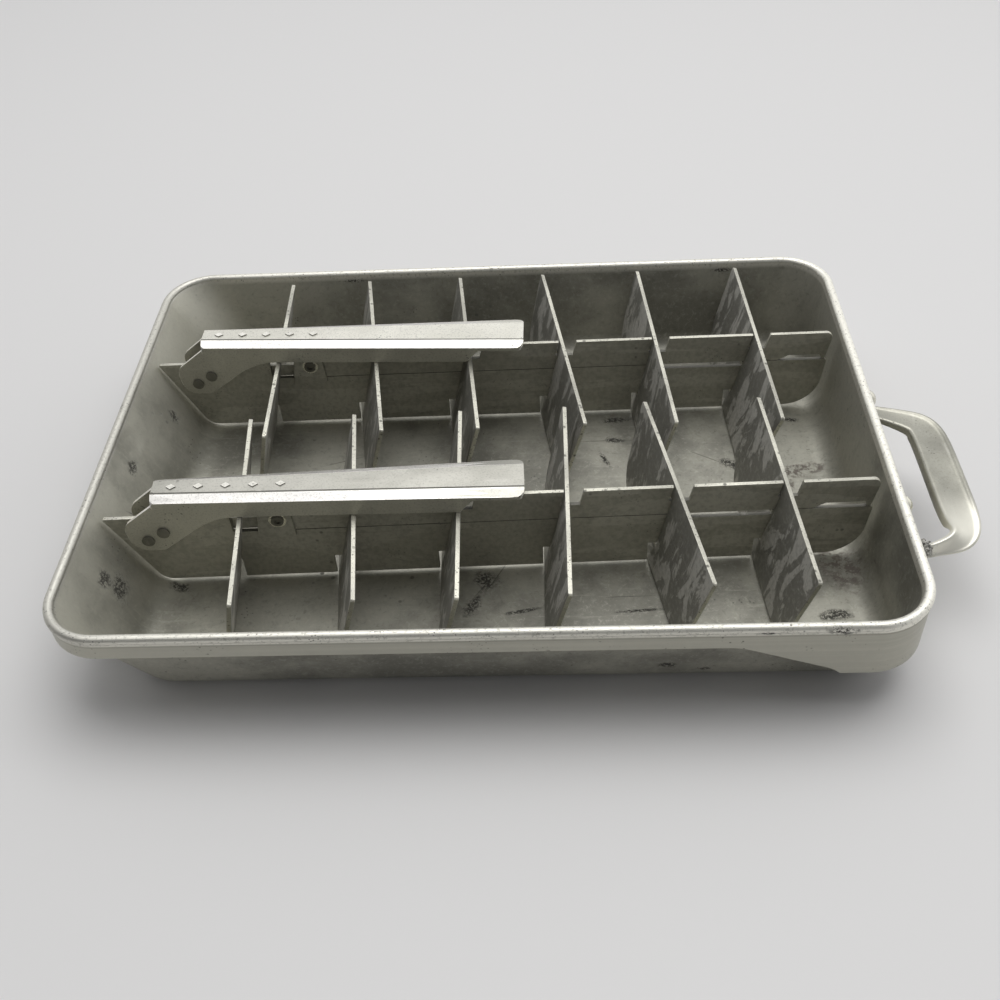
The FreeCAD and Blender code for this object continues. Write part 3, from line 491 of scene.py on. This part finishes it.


# Centre plates and sliding strips. Flat strips sheared from dull sheet; ice and water stained their
# faces a dark olive grey, while their cut top edges are painted light: rubbed metal and painted
# highlight.

def loose_copy(node, name):
    """A copy of a node that belongs to nothing yet, its split corners merged and its flats whole."""
    only(nodes[node])
    bpy.ops.object.duplicate()
    piece = bpy.context.object
    piece.name = name
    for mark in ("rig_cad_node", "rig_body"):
        del piece[mark]
    bpy.ops.object.parent_clear(type="CLEAR_KEEP_TRANSFORM")
    piece.data.materials.clear()
    bpy.ops.object.mode_set(mode="EDIT")
    bpy.ops.mesh.select_all(action="SELECT")
    bpy.ops.mesh.remove_doubles(threshold=0.000002)
    bpy.ops.mesh.dissolve_limited(angle_limit=math.radians(0.4))
    bpy.ops.object.mode_set(mode="OBJECT")
    return piece


def broad_side(node):
    """The way that a flat node's largest faces look."""
    widest = max(nodes[node].data.polygons, key=lambda face: face.area)
    return widest.normal.copy()


def face_and_edge(piece, face_finish, edge_wear_and_highlight, flat, bright_above=0.0):
    """Gives the broad faces one finish and the sheared edges above a height the other."""
    coat(piece, face_finish, lambda face: True)
    coat(piece, edge_wear_and_highlight, lambda face: abs(face.normal.dot(flat)) < 0.9 and face.normal.z > -0.5
         and face.center.z > bright_above)


def oxide(name, light, dark, seed, stretch, cover=0.50):
    """Sheet with a dull oxide skin that ran down it in lighter streaks and islands."""
    finish = Finish(name)
    runs = finish.noise(1.0, 8.0, 0.64, finish.moved(stretch, (seed, seed * 0.6, seed * 0.2)), 0.8)
    skin = finish.band(runs, cover - 0.012, cover + 0.028)
    dust = finish.noise(520.0, 4.0, 0.65)
    drag = finish.noise(1.0, 4.0, 0.7, finish.moved((60.0, 60.0, 700.0)))
    pits = spots(finish, 0.0036, 0.38, 2.2 + seed)
    dots = spots(finish, 0.0014, 0.43, 5.1 + seed)
    pores = (pits * 0.8) | (dots * 0.7)
    shade = finish.layers(
        finish.mix(skin, dark, light),
        (finish.band(dust, 0.42, 0.66) * 0.35, tone(0.26)),
        (finish.band(dust, 0.48, 0.34) * 0.30, tone(0.56)),
        (finish.band(drag, 0.56, 0.70) * 0.15, tone(0.60)),
        (pores * 0.7, tone(0.06)))
    finish.set(Base_Color=shade, Metallic=0.60 - pores * 0.4 - skin * 0.15,
               Roughness=0.50 + skin * 0.08 + (dust - 0.5) * 0.15)
    finish.bump(runs * 0.2 + skin * 0.06 + dust * 0.02 - pores * 0.08, 0.0007, 0.5)
    return finish


# Cut edges are painted light: partly rubbed bare metal, partly a painted highlight
edge_wear_and_highlight = worn_sheet("cut_edge_wear_and_highlight", tone(0.74), tone(0.48), 0.44, 0.7, (60.0, 60.0, 60.0), 4.4, 0.58)
ledge_shade_finish = worn_sheet("ledge_painted_shade", tone(0.22), tone(0.14), 0.6, 0.4, seed=2.9)
plate_finish = oxide("plate_sheet", tone(0.56), tone(0.48), 4.2, (14.0, 14.0, 90.0))
plate_break = 0.00014
for side in ("front", "back"):
    for part, body, bright_above in (("centre_plate", "grid", 0.0325), ("slide_strip", "slide", 0.0335)):
        node = f"{side}_{part}"
        piece = loose_copy(node, f"{node}_sheet")
        ease(piece, plate_break)
        stand_in(piece, node, f"{side}_{body}")
        face_and_edge(piece, plate_finish, edge_wear_and_highlight, broad_side(node), bright_above)
        # Ledges inside slots and windows are painted dark: painted shade in the recesses
        coat(piece, ledge_shade_finish, lambda face: face.normal.z > 0.9
             and face.center.z < bright_above - 0.001)


# Cross walls. Twelve identical blanks that lean in the slots of plate and strip; each has its own
# streaks of oxide, and its top edge and ends are painted light: rubbed metal and painted highlight.
wall_break = 0.00016
for side_seed, side in enumerate(("front", "back")):
    for number in range(1, 7):
        node = f"{side}_cross_wall_{number}"
        wall_finish = oxide(f"{side}_wall_{number}_sheet", tone(0.56, 0.90), tone(0.31, 0.88),
                            side_seed * 7.0 + number * 1.7, (95.0, 95.0, 36.0), 0.51)
        piece = loose_copy(node, f"{node}_sheet")
        ease(piece, wall_break)
        stand_in(piece, node, f"{side}_wall_{number}")
        face_and_edge(piece, wall_finish, edge_wear_and_highlight, broad_side(node))


# Levers. Channels folded from sheet, with round ears for the pins and dull sides. The back top is
# painted lighter and the front one darker, as painted highlight and shade; a fine score line by the fold
# is a dark band of painted shade, and five small diamonds pressed up by the heel have painted shade and
# highlight.
along_lever = (30.0, 300.0, 300.0)
# The back top is painted lighter and the front top darker: painted highlight and painted shade
lever_tops = {
    "front": worn_sheet("lever_sheet", tone(0.55, 0.88), tone(0.46, 0.87), 0.36, 0.9,
                        along_lever, 5.5),
    "back": worn_sheet("lever_sheet_painted_highlight", tone(0.84, 0.88), tone(0.76, 0.87), 0.36, 0.9,
                       along_lever, 5.8)}
# The bevels between top and flanges are painted near white: a painted highlight
lever_bevel_highlight = worn_sheet("lever_bevel_highlight", tone(0.98, 0.94), tone(0.93, 0.93), 0.34, 0.95,
                         (8.0, 300.0, 300.0), 2.5, 0.2, 0.12)
lever_side = worn_sheet("lever_side", tone(0.62), tone(0.52), 0.46, 0.7, (60.0, 60.0, 500.0), 3.5)
burr_and_highlight = worn_sheet("bright_burr_and_highlight", tone(0.95, 0.90), tone(0.80, 0.89), 0.5, 0.35, seed=1.7)
diamond_side_shade = worn_sheet("diamond_side_painted_shade", tone(0.24), tone(0.17), 0.5, 0.55, seed=9.0)
score_shade = worn_sheet("score_line_shade", tone(0.16), tone(0.10), 0.5, 0.5, seed=8.0)
score_cuts = (0.00025, 0.00090)
score_from, score_to = 0.0003, 0.0008
bend_radius, shortest_bend, burr_width = 0.0010, 0.005, 0.00022
half_top = 0.0051


def edges_of(mesh, wanted):
    """The edges round the faces that are wanted."""
    return {key for face in mesh.polygons if wanted(face) for key in face.edge_keys}


def fold_line(mesh):
    """The two ends of the fold between a lever's top and its near bevel."""
    top = edges_of(mesh, lambda face: face.normal.z > 0.99)
    near = edges_of(mesh, lambda face: face.normal.y < -0.2 and face.normal.z > 0.5)
    folds = [[mesh.vertices[index].co.copy() for index in key] for key in top & near]
    longest = max(folds, key=lambda ends: (ends[0] - ends[1]).length)
    return sorted(longest, key=lambda place: place.x)


def round_between(piece, first, second, offset, steps, least_length=0.0):
    """Rounds the edges in which two kinds of face meet."""
    mesh = piece.data
    shared = edges_of(mesh, first) & edges_of(mesh, second)
    bpy.ops.object.mode_set(mode="EDIT")
    bpy.ops.mesh.select_mode(type="EDGE")
    bpy.ops.mesh.select_all(action="DESELECT")
    bpy.ops.object.mode_set(mode="OBJECT")
    for edge in mesh.edges:
        start, end = (mesh.vertices[index].co for index in edge.vertices)
        edge.select = edge.key in shared and (end - start).length > least_length
    bpy.ops.object.mode_set(mode="EDIT")
    bpy.ops.mesh.bevel(offset=offset, segments=steps)
    bpy.ops.object.mode_set(mode="OBJECT")


def on_bevel(face):
    """The sloping faces between a lever's top and its flanges."""
    return 0.5 < face.normal.z < 0.94 and abs(face.normal.y) > 0.2


def on_flange(face):
    """Both sides of the upright flanges and ears."""
    return abs(face.normal.y) > 0.9


def on_flange_end(face):
    """The sheared edges round a flange, all but those that face up."""
    return abs(face.normal.y) < 0.3 and face.normal.z < 0.3


def on_diamond(face, heel, middle):
    """The small raised faces on a lever's top, near its heel."""
    return (face.area < 6e-6 and face.normal.z > -0.1 and abs(face.center.y - middle.y) < 0.004
            and heel.x + 0.003 < face.center.x < heel.x + 0.05 and face.center.z > middle.z + 0.0003)


for side in ("front", "back"):
    lever = loose_copy(f"{side}_lever", f"{side}_lever_channel")
    heel, tip = fold_line(lever.data)
    middle = (heel + tip) / 2 + Vector((0.0, half_top, 0.0))
    inward = Vector((0.0, 0.0, 1.0)).cross(tip - heel).normalized()
    bpy.ops.object.mode_set(mode="EDIT")
    for cut in score_cuts:
        bpy.ops.mesh.select_all(action="SELECT")
        bpy.ops.mesh.bisect(plane_co=heel + inward * cut, plane_no=inward)
    bpy.ops.object.mode_set(mode="OBJECT")
    round_between(lever, on_bevel, on_flange, bend_radius, 6, shortest_bend)
    round_between(lever, lambda face: on_flange(face) and abs(face.center.y - middle.y) > 0.004,
                  on_flange_end, burr_width, 1)
    bpy.ops.object.shade_smooth_by_angle(angle=math.radians(11))
    stand_in(lever, f"{side}_lever", f"{side}_lever_arm")
    coat(lever, lever_side, lambda face: True)
    # Sheared flange edges are painted light: bare metal and a painted highlight
    coat(lever, burr_and_highlight, lambda face: abs(face.normal.y) < 0.8 and face.normal.z < 0.3)
    coat(lever, lever_side, lambda face: face.normal.z < -0.8)
    coat(lever, lever_tops[side], lambda face: face.normal.z > 0.94)
    coat(lever, lever_bevel_highlight, lambda face: 0.35 < face.normal.z <= 0.94)
    # The score line is a dark band on the flat top, with no groove: painted shade
    coat(lever, score_shade, lambda face: face.normal.z > 0.99
         and score_from < (face.center - heel).dot(inward) < score_to)
    # The diamonds' upright sides are painted dark: painted shade
    coat(lever, diamond_side_shade, lambda face: on_diamond(face, heel, middle) and face.normal.z < 0.1)
    # The diamonds' tops are painted light: a painted highlight
    coat(lever, burr_and_highlight, lambda face: on_diamond(face, heel, middle) and face.normal.z > 0.9
         and face.area > 3e-6)


# Links, pins and washers. Short dark steel pins hold lever, link, strip and plate, with bright washers
# under the strips' rivet heads; the link that draws the strip is a bar of the plates' own sheet.
pin_finish = worn_sheet("pin", tone(0.26), tone(0.17), 0.38, 0.8, seed=6.1)
for side in ("front_", "back_"):
    # The washers take the rivets' light finish: bright metal with a painted highlight
    dress(side + "slide_washer", rivet_highlight_finish)
    dress(side + "link", plate_finish)
    for name in ("link_rivet", "lever_pivot_rivet", "slide_rivet"):
        dress(side + name, pin_finish)


# Floor and light. A pale table top under soft daylight from above and a little behind.
floor_finish = Finish("floor")
floor_finish.set(Base_Color=(0.73, 0.722, 0.714, 1.0), Roughness=0.55, Metallic=0.0)
bpy.ops.object.select_all(action="DESELECT")
bpy.ops.mesh.primitive_plane_add(size=6.0, location=(0.0, 0.0, -0.0002))
floor = bpy.context.object
floor.name = "floor"
floor.data.materials.append(floor_finish.material)


def soft_lamp(name, place, target, size, power):
    """A flat lamp that looks at a target."""
    lamp = bpy.data.objects.new(name, bpy.data.lights.new(name, "AREA"))
    lamp.data.shape = "RECTANGLE"
    lamp.data.size, lamp.data.size_y = size
    lamp.data.energy = power
    lamp.location = place
    lamp.rotation_euler = (Vector(target) - Vector(place)).to_track_quat("-Z", "Y").to_euler()
    bpy.context.scene.collection.objects.link(lamp)
    return lamp


soft_lamp("ceiling_light", (0.15, 0.26, 1.25), (0.0, 0.0, 0.0), (1.3, 1.0), 10.0)
# The side light only shows as a sheen in the metal
side_light = soft_lamp("side_light", (-0.56, -0.36, 1.20), (-0.05, 0.0, 0.0), (0.5, 0.4), 1.5)
side_light.visible_diffuse = False

# The room: bright behind and to the right of the table, dark behind the camera
room = Finish("room", bpy.data.worlds.new("room"))
behind = room.band(room.axis("Y"), -0.30, 0.55)
right = room.band(room.axis("X"), 0.0, 0.9)
room.set(Color=(0.98, 0.985, 1.0, 1.0), Strength=0.10 + 0.68 * behind + 0.40 * right)
bpy.context.scene.world = room.material
bpy.context.scene.view_settings.view_transform = "Standard"
